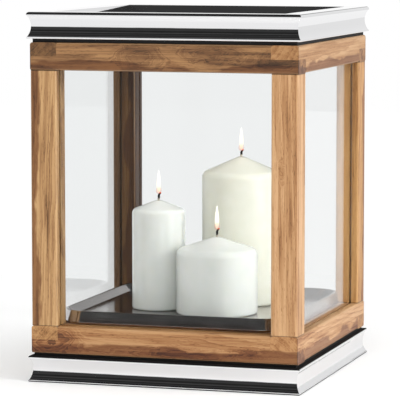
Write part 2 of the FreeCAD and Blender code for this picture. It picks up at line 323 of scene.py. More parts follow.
@dataclass(frozen=True)
class SawnTeak(Finish):
    """Reclaimed teak, planed, sanded and oiled.

    It gives the eye warm growth rings that open into arches where the saw cut them at a slant, streaks and
    fine fibres along the grain, dark open pores, now and then a knot, and a half-matt sheen from the oil.
    """

    stick: Stick
    centre: Vector
    half: Vector

    def stick_place(self, tree: Tree, place: Socket) -> Socket:
        """Millimetres from the stick's middle, with the third axis along the grain."""
        shift = -(self.stick.grain.turn() @ (self.centre * PER_M))
        return add(tree, "Mapping", {"Vector": place, "Scale": (PER_M, PER_M, PER_M),
                                     "Rotation": self.stick.grain.value, "Location": shift})

    def along_grain(self, tree: Tree, place: Socket, width: float, length: float,
                    turn: float, output: int | str = 0, **noise: float) -> Socket:
        """Noise drawn out along the grain.

        Args:
            tree: the material's node tree.
            place: millimetres from the stick's middle.
            width: how wide its marks are, in millimetres.
            length: how long its marks are, in millimetres.
            turn: which part of the noise is used.
            output: the noise's output.
            noise: the noise's other inputs.

        Returns:
            The noise's value or colour.
        """
        drawn = add(tree, "Mapping", {"Vector": place, "Scale": (1 / width, 1 / width, 1 / length),
                                      "Location": (self.stick.seed, turn, 0.0)})
        return add(tree, "TexNoise", {"Vector": drawn, "Scale": 1.0, **noise}, output)

    def ring_depth(self, tree: Tree, place: Socket, shade: Socket) -> tuple[Socket, Socket]:
        """Distance from the pith in rings, bent round each knot.

        Args:
            tree: the material's node tree.
            place: millimetres from the stick's middle.
            shade: how dark the wood is apart from its rings.

        Returns:
            The ring count, and the shade with each knot's darkness added.
        """
        wave = self.stick.wave_mm
        drift = self.along_grain(tree, place, 38, 120, 0.0, "Color", Detail=2.0)
        drift = add(tree, "VectorMath", {0: drift, 1: (-0.5, -0.5, -0.5)}, operation="ADD")
        bent = add(tree, "VectorMath", {0: drift, 1: (2 * wave, 2 * wave, 0.0), 2: place},
                   operation="MULTIPLY_ADD")
        run = add(tree, "SeparateXYZ", {"Vector": place}, "Z")
        slant = add(tree, "CombineXYZ", {"X": run, "Y": run})
        lean = (-self.stick.lean[0], -self.stick.lean[1], 0.0)
        log_place = add(tree, "VectorMath", {0: slant, 1: lean, 2: bent}, operation="MULTIPLY_ADD")
        flat = add(tree, "VectorMath", {0: log_place, 1: (1.0, 1.0, 0.0)}, operation="MULTIPLY")
        from_pith = add(tree, "VectorMath", {0: flat, 1: (*self.stick.pith_mm, 0.0)}, operation="SUBTRACT")
        depth = add(tree, "VectorMath", {0: from_pith}, "Value", operation="LENGTH")
        # Knots are never round: their outline wanders by a few millimetres.
        rough = self.along_grain(tree, place, 11, 22, 2.0, "Color", Detail=3.0)
        rough = add(tree, "VectorMath", {0: rough, 1: (-0.5, -0.5, -0.5)}, operation="ADD")
        crooked = add(tree, "VectorMath", {0: rough, 1: (16.0, 16.0, 26.0), 2: bent},
                      operation="MULTIPLY_ADD")
        for knot in self.stick.knots:
            middle = (*knot.across_mm, knot.along_mm)
            away = add(tree, "VectorMath", {0: crooked, 1: middle}, operation="SUBTRACT")
            away = add(tree, "VectorMath", {0: away, 1: (1.0, 1.0, knot.squeeze)}, operation="MULTIPLY")
            gap = add(tree, "VectorMath", {0: away}, "Value", operation="LENGTH")
            near = add(tree, "MapRange", {"Value": gap, "From Min": knot.radius_mm * 0.3,
                                          "From Max": knot.radius_mm, "To Min": 1.0, "To Max": 0.0},
                       interpolation_type="SMOOTHSTEP")
            swirl = add(tree, "Math", {0: gap, 1: 1.1}, operation="MULTIPLY")
            depth = add(tree, "Mix", {"Factor": near, "A": depth, "B": swirl})
            shade = add(tree, "Math", {0: near, 1: knot.dark, 2: shade}, operation="MULTIPLY_ADD")
        # Fine fibres fray every ring's edge.
        fray = self.along_grain(tree, place, 1.3, 34, 7.0, Detail=3.0)
        depth = add(tree, "Math", {0: fray, 1: 3.2, 2: depth}, operation="MULTIPLY_ADD")
        uneven = add(tree, "TexNoise", {"W": depth, "Scale": 0.13, "Detail": 2.0}, noise_dimensions="1D")
        spread = add(tree, "Math", {0: uneven, 1: 16.0, 2: depth}, operation="MULTIPLY_ADD")
        return add(tree, "Math", {0: spread, 1: self.stick.ring_mm}, operation="DIVIDE"), shade

    def heartwood(self, tree: Tree, place: Socket) -> Socket:
        """Share of darker heartwood, on one side of a line that wanders along the stick.

        Args:
            tree: the material's node tree.
            place: millimetres from the stick's middle.

        Returns:
            The share of heartwood.
        """
        u, v, start = self.stick.heart
        wander = self.along_grain(tree, place, 30, 75, 17.0, Detail=3.0)
        across = add(tree, "VectorMath", {0: place, 1: (u, v, 0.0)}, "Value", operation="DOT_PRODUCT")
        across = add(tree, "Math", {0: wander, 1: 44.0, 2: across}, operation="MULTIPLY_ADD")
        return add(tree, "MapRange", {"Value": across, "From Min": start + 20.5, "From Max": start + 23.5})

    def surface(self, tree: Tree, place: Socket) -> dict[str, object]:
        """Builds the rings, streaks, fibres, pores, knots, heartwood, end grain, worn edges with a painted
        highlight, and joint lines of dirt and painted shadow.

        Args:
            tree: the material's node tree.
            place: the place on the piece, in metres.

        Returns:
            What feeds or sets each input of the shader.
        """
        place = self.stick_place(tree, place)
        # Broad bands of colour, as wide as a finger and as long as a hand.
        band = self.along_grain(tree, place, 12, 150, 3.0, Detail=3.0, Roughness=0.6)
        shade = add(tree, "MapRange", {"Value": band, "From Min": 0.28, "From Max": 0.75})
        rings, shade = self.ring_depth(tree, place, shade)
        # Each ring darkens slowly and ends in a line of late wood.
        late = add(tree, "Math", {0: rings}, operation="FRACT")
        late = add(tree, "Math", {0: late, 1: 2.2}, operation="POWER")
        strong = add(tree, "TexNoise", {"W": rings, "Scale": 0.9, "Detail": 1.0}, noise_dimensions="1D")
        late = add(tree, "Math", {0: late, 1: strong}, operation="MULTIPLY")
        streak = self.along_grain(tree, place, 2.6, 110, 11.0, Detail=4.0, Roughness=0.62)
        # Fibres 0.8 mm apart; the real ones are finer than the render can show.
        fibre = self.along_grain(tree, place, 0.8, 45, 5.0, Detail=4.0, Roughness=0.65)
        # Open pores, drawn 0.6 mm wide and 7 mm long.
        pore = self.along_grain(tree, place, 0.6, 7, 9.0, Detail=1.0)
        pore = add(tree, "MapRange", {"Value": pore, "From Min": 0.60, "From Max": 0.72},
                   interpolation_type="SMOOTHSTEP")
        factor = add(tree, "Math", {0: shade, 1: 0.50, 2: -0.50}, operation="MULTIPLY_ADD")
        for part, share in ((late, 0.56), (streak, 0.85), (fibre, 0.40), (pore, 0.24)):
            factor = add(tree, "Math", {0: part, 1: share, 2: factor}, operation="MULTIPLY_ADD")
        pale, body, late_wood, dark = self.stick.tone.value
        colour = add(tree, "ValToRGB", {"Fac": factor}, "Color",
                     ((0.0, pale), (0.30, pale), (0.50, body), (0.72, late_wood), (0.95, dark), (1.0, dark)))
        ends, edges, joint = self.end_and_edge(tree, place)
        heart = self.heartwood(tree, place)
        # Heartwood and end grain are the wood's own; the pale edges carry a painted highlight, and the joint
        # lines a painted shadow.
        for share, over, how in ((heart, "#BCA690", "MULTIPLY"), (ends, "#E4D6BE", "MULTIPLY"),
                                 (edges, "#EBCDA8", "MIX"), (joint, "#3A2817", "MIX"),
                                 (1.0, self.stick.tint, "MULTIPLY")):
            colour = add(tree, "Mix", {"Factor": share, "A": colour, "B": over}, 2, data_type="RGBA",
                         blend_type=how)
        rough = add(tree, "MapRange", {"Value": factor, "To Min": 0.40, "To Max": 0.60})
        relief = add(tree, "Math", {0: pore, 1: -0.6, 2: fibre}, operation="MULTIPLY_ADD")
        bump = add(tree, "Bump", {"Height": relief, "Strength": 0.25, "Distance": 0.3 * MM})
        return {"Base Color": colour, "Roughness": rough, "Normal": bump}

    def end_and_edge(self, tree: Tree, place: Socket) -> tuple[Socket, ...]:
        """Where a face cuts across the grain, where a long edge is pale from wear and a painted highlight, and
        where dirt and painted shadow line a joint.

        Args:
            tree: the material's node tree.
            place: millimetres from the stick's middle.

        Returns:
            The share of end grain, of pale edge from wear and painted highlight, and of joint line from dirt
            and painted shadow.
        """
        facing = add(tree, "TexCoord", output="Normal")
        axis = self.stick.grain.turn().inverted() @ Vector((0, 0, 1))
        across = add(tree, "VectorMath", {0: facing, 1: axis}, "Value", operation="DOT_PRODUCT")
        across = add(tree, "Math", {0: across}, operation="ABSOLUTE")
        ends = add(tree, "MapRange", {"Value": across, "From Min": 0.6, "From Max": 0.8, "To Max": 0.8})
        size = self.stick.grain.turn() @ (self.half * PER_M)
        share = add(tree, "VectorMath", {0: place, 1: tuple(1 / abs(part) for part in size)},
                    operation="MULTIPLY")
        share = add(tree, "VectorMath", {0: share}, operation="ABSOLUTE")
        u = add(tree, "SeparateXYZ", {"Vector": share}, "X")
        v = add(tree, "SeparateXYZ", {"Vector": share}, "Y")
        least = add(tree, "Math", {0: u, 1: v}, operation="MINIMUM")
        # Long edges paler: partly wear, partly a painted highlight where the rounded edge catches light.
        edges = add(tree, "MapRange", {"Value": least, "From Min": 0.88, "From Max": 0.98, "To Max": 0.55},
                    interpolation_type="SMOOTHSTEP")
        along = add(tree, "SeparateXYZ", {"Vector": place}, "Z")
        along = add(tree, "Math", {0: along}, operation="ABSOLUTE")
        length = abs(size.z)
        # A dark line at each joint: partly dirt, partly a painted shadow of the gap between the pieces.
        joint = add(tree, "MapRange", {"Value": along, "From Min": length - 1.2, "From Max": length - 0.4,
                                       "To Max": 0.8})
        side_on = add(tree, "MapRange", {"Value": across, "From Min": 0.3, "From Max": 0.6, "To Min": 1.0,
                                         "To Max": 0.0})
        joint = add(tree, "Math", {0: joint, 1: side_on}, operation="MULTIPLY")
        return ends, edges, joint


@dataclass(frozen=True)
class BuffedPlate(Finish):
    """Brass moulding, nickel plated and buffed to a mirror.

    It gives the eye hard, slightly streaky reflections, because buffing leaves long shallow waves.
    """

    # Heights of the bands that are painted black as shade.
    painted_shade_bands: tuple[tuple[float, float], ...]

    def surface(self, tree: Tree, place: Socket) -> dict[str, object]:
        """Sets a bright metal with a faint polishing haze and long shallow waves.

        Args:
            tree: the material's node tree.
            place: the place on the piece, in metres.

        Returns:
            What feeds or sets each input of the shader.
        """
        # The recesses next to the timber and the foot are painted black and dull: painted shade in place of
        # the shadow that falls there.
        level = add(tree, "SeparateXYZ", {"Vector": place}, "Z")
        painted_shade_mask = 0.0
        for low, high in self.painted_shade_bands:
            inside = add(tree, "Math", {0: level, 1: (low + high) / 2, 2: (high - low) / 2},
                         operation="COMPARE")
            painted_shade_mask = add(tree, "Math", {0: inside, 1: painted_shade_mask}, operation="MAXIMUM")
        colour = add(tree, "Mix", {"Factor": painted_shade_mask, "A": "#E9E9EA", "B": "#0B0A0A"}, 2, data_type="RGBA")
        bare = add(tree, "Math", {0: 1.0, 1: painted_shade_mask}, operation="SUBTRACT")
        # Haze in patches a few centimetres across.
        patch = add(tree, "TexNoise", {"Vector": place, "Scale": 35.0, "Detail": 4.0})
        rough = add(tree, "MapRange", {"Value": patch, "To Min": 0.015, "To Max": 0.07})
        rough = add(tree, "Mix", {"Factor": painted_shade_mask, "A": rough, "B": 0.85})
        # Waves 4 mm apart across the moulding and ten times as long.
        long_waves = add(tree, "Mapping", {"Vector": place, "Scale": (25.0, 25.0, 250.0)})
        wave = add(tree, "TexNoise", {"Vector": long_waves, "Scale": 1.0, "Detail": 2.0})
        bump = add(tree, "Bump", {"Height": wave, "Strength": 0.10, "Distance": 0.25 * MM})
        return {"Base Color": colour, "Metallic": bare, "Roughness": rough, "Normal": bump}


@dataclass(frozen=True)
class FloatGlass(Finish):
    """Clear 4 mm float glass.

    It gives the eye a faint grey-green tint, and reflections that bend a little.
    """

    def surface(self, tree: Tree, place: Socket) -> dict[str, object]:
        """Sets clear glass with faint roller waves.

        Args:
            tree: the material's node tree.
            place: the place on the piece, in metres.

        Returns:
            What feeds or sets each input of the shader.
        """
        # Float glass waves are about 80 mm apart.
        wave = add(tree, "TexNoise", {"Vector": place, "Scale": 12.0, "Detail": 1.0})
        bump = add(tree, "Bump", {"Height": wave, "Strength": 0.02, "Distance": 0.5 * MM})
        return {"Base Color": "#F6F7F7", "Transmission Weight": 1.0, "Roughness": 0.0, "IOR": 1.52,
                "Specular Tint": "#5A5C5C", "Normal": bump}

    def over(self, tree: Tree, place: Socket, shaded: Socket) -> Socket:
        """Lets shadow rays pass, so that lamps shine through the pane.

        Args:
            tree: the material's node tree.
            place: the place on the piece, in metres; not used.
            shaded: the Principled shader's output.

        Returns:
            The shader that reaches the surface.
        """
        shadow = add(tree, "LightPath", output="Is Shadow Ray")
        clear = add(tree, "BsdfTransparent", {"Color": "#F4F6F5"})
        return add(tree, "MixShader", {0: shadow, 1: shaded, 2: clear})


@dataclass(frozen=True)
class PolishedSteel(Finish):
    """Stainless sheet, pressed and then polished along its length.

    It gives the eye soft grey reflections, drawn out by fine polishing lines.
    """

    tint: str = "#CDC8C6"
    rough_from: float = 0.10
    rough_to: float = 0.24

    def surface(self, tree: Tree, place: Socket) -> dict[str, object]:
        """Sets grey metal with fine lines in its roughness and shallow dents.

        Args:
            tree: the material's node tree.
            place: the place on the piece, in metres.

        Returns:
            What feeds or sets each input of the shader.
        """
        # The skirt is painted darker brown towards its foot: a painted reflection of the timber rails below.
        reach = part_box("candle_tray")[1].x
        out = add(tree, "VectorMath", {0: place}, operation="ABSOLUTE")
        out_x = add(tree, "SeparateXYZ", {"Vector": out}, "X")
        out_y = add(tree, "SeparateXYZ", {"Vector": out}, "Y")
        out = add(tree, "Math", {0: out_x, 1: out_y}, operation="MAXIMUM")
        painted_rail_reflection = add(tree, "MapRange", {"Value": out, "From Min": reach - 1.6 * MM,
                                         "From Max": reach - 0.4 * MM, "To Max": 0.8})
        colour = add(tree, "Mix", {"Factor": painted_rail_reflection, "A": self.tint, "B": "#8C6A60"}, 2, data_type="RGBA")
        # Polishing lines 0.7 mm apart, coarser than the real ones so that they show.
        lines = add(tree, "Mapping", {"Vector": place, "Scale": (22.0, 1400.0, 1400.0)})
        line = add(tree, "TexNoise", {"Vector": lines, "Scale": 1.0, "Detail": 1.0})
        cloud = add(tree, "TexNoise", {"Vector": place, "Scale": 28.0, "Detail": 3.0})
        both = add(tree, "Math", {0: line, 1: cloud}, operation="MULTIPLY")
        rough = add(tree, "MapRange", {"Value": both, "From Min": 0.1, "From Max": 0.45,
                                       "To Min": self.rough_from, "To Max": self.rough_to})
        dents = add(tree, "TexNoise", {"Vector": place, "Scale": 16.0, "Detail": 1.0})
        height = add(tree, "Math", {0: line, 1: 0.003, 2: dents}, operation="MULTIPLY_ADD")
        bump = add(tree, "Bump", {"Height": height, "Strength": 0.25, "Distance": 0.5 * MM})
        return {"Metallic": 1.0, "Base Color": colour, "Roughness": rough, "Normal": bump}


@dataclass(frozen=True)
class PouredWax(Finish):
    """Paraffin wax, poured in a mould and wiped.

    It gives the eye a milky depth, a soft sheen, and thin mottling just under the skin.
    """

    body: str
    deep: str
    glow: tuple[float, float, float] = (1.0, 0.9, 0.75)

    def surface(self, tree: Tree, place: Socket) -> dict[str, object]:
        """Sets milky wax with mottling and a faintly dimpled skin.

        Args:
            tree: the material's node tree.
            place: the place on the piece, in metres.

        Returns:
            What feeds or sets each input of the shader.
        """
        # Mottling in patches about 15 mm across.
        mottle = add(tree, "TexNoise", {"Vector": place, "Scale": 65.0, "Detail": 4.0, "Roughness": 0.55})
        mottle = add(tree, "MapRange", {"Value": mottle, "From Min": 0.3, "From Max": 0.7})
        colour = add(tree, "Mix", {"Factor": mottle, "A": self.body, "B": self.deep}, 2, data_type="RGBA")
        skin = add(tree, "TexNoise", {"Vector": place, "Scale": 420.0, "Detail": 2.0})
        rough = add(tree, "MapRange", {"Value": skin, "To Min": 0.10, "To Max": 0.17})
        bump = add(tree, "Bump", {"Height": skin, "Strength": 0.10, "Distance": 0.2 * MM})
        return {"Base Color": colour, "Subsurface Weight": 0.45, "Subsurface Radius": self.glow,
                "Subsurface Scale": 6 * MM, "IOR": 1.44, "Roughness": rough, "Normal": bump}


@dataclass(frozen=True)
class BraidedCotton(Finish):
    """Waxed cotton braid, burnt black above the wax.

    It gives the eye a pale root, a charred stem and a dull red tip.
    """

    root: float
    tip: float

    def surface(self, tree: Tree, place: Socket) -> dict[str, object]:
        """Sets pale cotton that chars as it rises, with a glowing tip.

        Args:
            tree: the material's node tree.
            place: the place on the piece, in metres.

        Returns:
            What feeds or sets each input of the shader.
        """
        level = add(tree, "SeparateXYZ", {"Vector": place}, "Z")
        burnt = add(tree, "MapRange", {"Value": level, "From Min": self.root,
                                       "From Max": self.root + 2 * MM})
        thread = add(tree, "TexNoise", {"Vector": place, "Scale": 2500.0, "Detail": 2.0})
        cotton = add(tree, "Mix", {"Factor": thread, "A": "#D8CFBE", "B": "#A79C88"}, 2, data_type="RGBA")
        char = add(tree, "Mix", {"Factor": thread, "A": "#050404", "B": "#17110F"}, 2, data_type="RGBA")
        colour = add(tree, "Mix", {"Factor": burnt, "A": cotton, "B": char}, 2, data_type="RGBA")
        ember = add(tree, "MapRange", {"Value": level, "From Min": self.tip - 1.6 * MM, "From Max": self.tip,
                                       "To Max": 1.2})
        bump = add(tree, "Bump", {"Height": thread, "Strength": 0.6, "Distance": 0.3 * MM})
        return {"Base Color": colour, "Roughness": 0.9, "Emission Color": "#FF5A1E",
                "Emission Strength": ember, "Normal": bump}


@dataclass(frozen=True)
class Flame(Finish):
    """A candle flame: glowing soot.

    It gives the eye a white body over a rosy, see-through root.
    """

    low: float
    high: float
    colours: tuple[tuple[float, str], ...]
    power: float
    clear_root: float
    body_share: float

    def over(self, tree: Tree, place: Socket, shaded: Socket) -> Socket:
        """Swaps the shader for a glow that changes with height, clear at the root.

        Args:
            tree: the material's node tree.
            place: the place on the piece, in metres.
            shaded: the Principled shader's output; not used.

        Returns:
            The shader that reaches the surface.
        """
        level = add(tree, "SeparateXYZ", {"Vector": place}, "Z")
        height = add(tree, "MapRange", {"Value": level, "From Min": self.low, "From Max": self.high})
        colour = add(tree, "ValToRGB", {"Fac": height}, "Color", self.colours)
        glow = add(tree, "Emission", {"Color": colour, "Strength": self.power})
        solid = add(tree, "MapRange", {"Value": height, "From Min": 0.0, "From Max": self.clear_root,
                                       "To Min": 0.15, "To Max": self.body_share})
        return add(tree, "MixShader", {0: solid, 1: add(tree, "BsdfTransparent"), 2: glow})


@dataclass(frozen=True)
class TurnedBeech(Finish):
    """Beech dowel, turned and fluted.

    It gives the eye pale pink-brown wood with short dark flecks.
    """

    def surface(self, tree: Tree, place: Socket) -> dict[str, object]:
        """Sets pale wood with upright fibres and flecks.

        Args:
            tree: the material's node tree.
            place: the place on the piece, in metres.

        Returns:
            What feeds or sets each input of the shader.
        """
        # Flecks 1 mm wide and 6 mm long.
        upright = add(tree, "Mapping", {"Vector": place, "Scale": (1000.0, 1000.0, 160.0)})
        fleck = add(tree, "TexNoise", {"Vector": upright, "Scale": 1.0, "Detail": 3.0})
        colour = add(tree, "ValToRGB", {"Fac": fleck}, "Color",
                     ((0.0, "#A97C55"), (0.45, "#D2A97F"), (0.7, "#E2C19B"), (1.0, "#EACDA9")))
        bump = add(tree, "Bump", {"Height": fleck, "Strength": 0.3, "Distance": 0.2 * MM})
        return {"Base Color": colour, "Roughness": 0.6, "Normal": bump}


@dataclass(frozen=True)
class WorkedMetal(Finish):
    """Plain metal as it left its tool, such as drawn aluminium or zinc-plated steel.

    It gives the eye a dull grey shine with fine tool lines.
    """

    tint: str
    lines_per_m: tuple[float, float, float]

    def surface(self, tree: Tree, place: Socket) -> dict[str, object]:
        """Sets dull metal with tool lines and blotches.

        Args:
            tree: the material's node tree.
            place: the place on the piece, in metres.

        Returns:
            What feeds or sets each input of the shader.
        """
        drawn = add(tree, "Mapping", {"Vector": place, "Scale": self.lines_per_m})
        line = add(tree, "TexNoise", {"Vector": drawn, "Scale": 1.0, "Detail": 3.0})
        blotch = add(tree, "TexNoise", {"Vector": place, "Scale": 300.0, "Detail": 2.0})
        colour = add(tree, "Mix", {"Factor": blotch, "A": self.tint, "B": "#8E9092"}, 2, data_type="RGBA")
        rough = add(tree, "MapRange", {"Value": line, "To Min": 0.28, "To Max": 0.5})
        bump = add(tree, "Bump", {"Height": line, "Strength": 0.3, "Distance": 0.1 * MM})
        return {"Metallic": 1.0, "Base Color": colour, "Roughness": rough, "Normal": bump}


@dataclass(frozen=True)
class StudioPaper(Finish):
    """White background paper: matt, with a fine tooth."""

    def surface(self, tree: Tree, place: Socket) -> dict[str, object]:
        """Sets matt white paper that stays white under a thin shadow.

        Args:
            tree: the material's node tree.
            place: the place on the piece, in metres.

        Returns:
            What feeds or sets each input of the shader.
        """
        tooth = add(tree, "TexNoise", {"Vector": place, "Scale": 900.0, "Detail": 2.0})
        colour = add(tree, "Mix", {"Factor": tooth, "A": "#F4F4F3", "B": "#FAFAFA"}, 2, data_type="RGBA")
        # Further out the paper is lit from below alone, so that it is evenly white to its edge.
        out = add(tree, "VectorMath", {0: place}, "Value", operation="LENGTH")
        far = add(tree, "MapRange", {"Value": out, "From Min": 0.25, "From Max": 0.9},
                  interpolation_type="SMOOTHSTEP")
        colour = add(tree, "Mix", {"Factor": far, "A": colour, "B": "#000000"}, 2, data_type="RGBA")
        lit = add(tree, "MapRange", {"Value": far, "To Min": 0.12, "To Max": 1.01})
        return {"Base Color": colour, "Roughness": 0.9, "Specular IOR Level": 0.0,
                "Emission Color": "#FFFFFF", "Emission Strength": lit}


# ---- Sub-assemblies

@dataclass
class TimberFrame:
    """Four posts and eight half-lapped rails, each cut from a different board."""

    sticks: tuple[Stick, ...] = (
        Stick("post_front_left", Grain.ALONG_Z, Tone.HONEY, "#EAE6DA", 1.7, 7.0, (-46.0, 12.0), (0.05, 0.0),
              6.0, heart=(-1.0, 0.0, 6.0)),
        Stick("post_front_right", Grain.ALONG_Z, Tone.GOLDEN, "#EBE3DE", 8.3, 9.0, (52.0, 20.0),
              (-0.04, 0.02), 5.0, (Knot((-4.0, -15.0), 40.0, 9.0, 0.3, 0.5),)),
        Stick("post_rear_left", Grain.ALONG_Z, Tone.DARK, "#D4C4A8", 15.1, 6.0, (30.0, -36.0), (0.04, 0.03),
              6.0, heart=(1.0, 0.0, 6.0)),
        Stick("post_rear_right", Grain.ALONG_Z, Tone.GOLDEN, "#E2D2B4", 21.9, 6.0, (-24.0, -40.0),
              (0.0, 0.06), 7.0, heart=(0.0, 1.0, 7.0)),
        Stick("top_rail_front", Grain.ALONG_X, Tone.BROWN, "#EEE4D4", 31.2, 6.0, (22.0, 30.0), (0.03, 0.02),
              9.0, (Knot((4.0, -14.0), -28.0, 24.0, 0.35), Knot((-6.0, -15.0), 62.0, 17.0, 0.3, 0.3),
                    Knot((-2.0, -16.0), 140.0, 16.0, 0.4, 0.4)), (1.0, 0.0, 7.0)),
        Stick("top_rail_rear", Grain.ALONG_X, Tone.BROWN, "#F6EEE6", 37.4, 5.0, (20.0, -34.0), (0.02, 0.03),
              8.0, (Knot((3.0, 14.0), 48.0, 20.0),)),
        Stick("top_rail_left", Grain.ALONG_Y, Tone.DARK, "#F0E8D8", 43.8, 4.0, (30.0, 24.0), (0.03, 0.02),
              8.0),
        Stick("top_rail_right", Grain.ALONG_Y, Tone.GOLDEN, "#DDD4CC", 49.5, 8.0, (-34.0, -22.0),
              (-0.03, 0.02), 5.0, heart=(0.0, 1.0, 9.0)),
        Stick("bottom_rail_front", Grain.ALONG_X, Tone.RUSSET, "#D6D0C4", 55.6, 8.0, (38.0, 26.0),
              (0.05, 0.03), 7.0,
              (Knot((2.0, -15.0), -142.0, 32.0, 0.55), Knot((10.0, -15.0), 45.0, 9.0, 0.55, 0.07),
               Knot((3.0, -15.0), 115.0, 6.0, 0.5, 0.09)), (1.0, 0.0, 5.0)),
        Stick("bottom_rail_rear", Grain.ALONG_X, Tone.HONEY, "#F0E8DE", 61.3, 6.0, (-34.0, -26.0),
              (0.04, 0.02), 7.0),
        Stick("bottom_rail_left", Grain.ALONG_Y, Tone.HONEY, "#F4F0E8", 67.7, 4.5, (36.0, 24.0),
              (0.03, 0.04), 7.0, (Knot((-15.0, -2.0), 30.0, 18.0),)),
        Stick("bottom_rail_right", Grain.ALONG_Y, Tone.RUSSET, "#E6E6E4", 73.9, 6.5, (-28.0, 40.0),
              (0.03, 0.10), 12.0, heart=(0.0, 1.0, 3.0)))

    def build(self) -> None:
        """Gives every stick its own cut of teak."""
        for stick in self.sticks:
            low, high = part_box(stick.node)
            SawnTeak(f"sawn_teak_{stick.node}", stick, (low + high) / 2, (high - low) / 2).dress(
                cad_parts[stick.node])
            log.info("timber: %s", stick.node)


@dataclass
class Fixings:
    """Dowels, corner keys and screws, hidden once the lantern is together."""

    dowels: TurnedBeech = TurnedBeech("turned_beech")
    keys: WorkedMetal = WorkedMetal("drawn_aluminium", "#C4C6C8", (60.0, 60.0, 3000.0))
    screws: WorkedMetal = WorkedMetal("zinc_plated_steel", "#B9BBBA", (900.0, 900.0, 2600.0))

    def build(self) -> None:
        """Dresses the fixings at both ends of the cage."""
        for level in ("bottom", "top"):
            self.dowels.dress(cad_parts[f"{level}_corner_dowels"])
            self.keys.dress(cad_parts[f"{level}_rim_corner_keys"])
            self.screws.dress(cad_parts[f"{level}_rim_screws"])
            log.info("fixings: %s", level)


@dataclass
class GlazedSides:
    """Four panes of float glass."""

    glass: FloatGlass = FloatGlass("clear_float_glass")

    def build(self) -> None:
        """Dresses each pane."""
        for side in SIDES:
            self.glass.dress(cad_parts[f"glass_{side}"])
            log.info("glazing: glass_%s", side)


@dataclass
class MetalRims:
    """The two rims of polished moulding."""

    moulding: float = 31.5 * MM
    foot: float = 1.3 * MM
    ledge: float = 1.0 * MM

    def build(self) -> None:
        """Dresses each length of moulding."""
        top_of_lantern = cad_box[1].z
        # The foot, the ledge and neck over the bottom rim, and the neck under the top rim are painted black as
        # shade.
        painted_shade_bands = ((-self.foot, self.foot), (self.moulding - self.ledge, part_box("bottom_rail_front")[0].z),
                     (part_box("top_rail_front")[1].z, top_of_lantern - self.moulding - 0.1 * MM))
        plate = BuffedPlate("buffed_nickel_plate", painted_shade_bands)
        for level in ("bottom", "top"):
            for side in SIDES:
                plate.dress(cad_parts[f"{level}_rim_{side}"])
                log.info("rims: %s_rim_%s", level, side)


@dataclass
class CandleTray:
    """The pressed steel tray, modelled again with its edge leaning in and soft bends."""

    sheet: float = 1.5 * MM
    lean_in: float = 2.6 * MM
    brim: float = 3.2 * MM
    border: float = 8.2 * MM
    hem: float = 8.0 * MM
    floor_level: float = 76.0 * MM
    corner: float = 39.5 * MM
    bend: float = 1.3 * MM
    lower_bend: float = 3.6 * MM
    steel: PolishedSteel = PolishedSteel("polished_stainless_sheet")

    def build(self) -> None:
        """Presses the tray from a flat square and dresses it."""
        low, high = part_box("candle_tray")
        middle = (low + high) / 2
        bpy.ops.object.select_all(action="DESELECT")
        bpy.ops.mesh.primitive_plane_add(size=1.0, location=(middle.x, middle.y, high.z))
        tray = bpy.context.object
        top_x = high.x - low.x - 2 * self.lean_in
        top_y = high.y - low.y - 2 * self.lean_in
        tray.scale = (top_x, top_y, 1.0)
        named(tray, "pressed_tray")
        with editing(tray):
            pick(Part.VERTS, lambda v: True)
            bpy.ops.mesh.bevel(offset=self.corner - self.lean_in, segments=20, affect="VERTICES",
                               offset_type="OFFSET", profile=0.5)
            pick(Part.FACES, lambda f: True)
            bpy.ops.mesh.inset(thickness=self.brim, depth=0.0)
            bpy.ops.mesh.inset(thickness=self.border, depth=self.floor_level - high.z)
            for step in (6 * MM, 20 * MM):
                bpy.ops.mesh.inset(thickness=step, depth=0.0)
            pick(Part.EDGES, lambda e: e.is_boundary)
            bpy.ops.mesh.extrude_edges_move(TRANSFORM_OT_translate={"value": (0, 0, low.z - high.z)})
            wide = ((high.x - low.x) / top_x, (high.y - low.y) / top_y, 1.0)
            bpy.ops.transform.resize(value=wide, center_override=middle)
            bpy.ops.mesh.extrude_edges_move(TRANSFORM_OT_translate={"value": (0, 0, 0)})
            narrow = 1 - 2 * self.hem / (high.x - low.x)
            bpy.ops.transform.resize(value=(narrow, narrow, 1.0), center_override=middle)
            pick(Part.EDGES, lambda e: not e.is_boundary
                 and all(abs(v.co.z - low.z) < ONE_LEVEL for v in e.verts)
                 and len({round(f.normal.z, 1) for f in e.link_faces}) == 2)
            bpy.ops.mesh.bevel(offset=self.lower_bend, segments=6, affect="EDGES", profile=0.5)
            pick(Part.FACES, lambda f: True)
            bpy.ops.mesh.normals_make_consistent(inside=False)
        if sum(face.normal.z * face.area for face in tray.data.polygons) < 0:
            tray.data.flip_normals()
        apply_modifier(tray, "SOLIDIFY", thickness=self.sheet, offset=-1.0, use_even_offset=True)
        apply_modifier(tray, "BEVEL", width=self.bend, segments=4, limit_method="ANGLE",
                       angle_limit=math.radians(28), offset_type="OFFSET")
        smooth(tray, 60)
        apply_modifier(tray, "WEIGHTED_NORMAL", keep_sharp=True, weight=100)
        self.steel.dress(tray)
        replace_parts(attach(tray, "tray"), "candle_tray")
        log.info("tray: %s", tray.name)


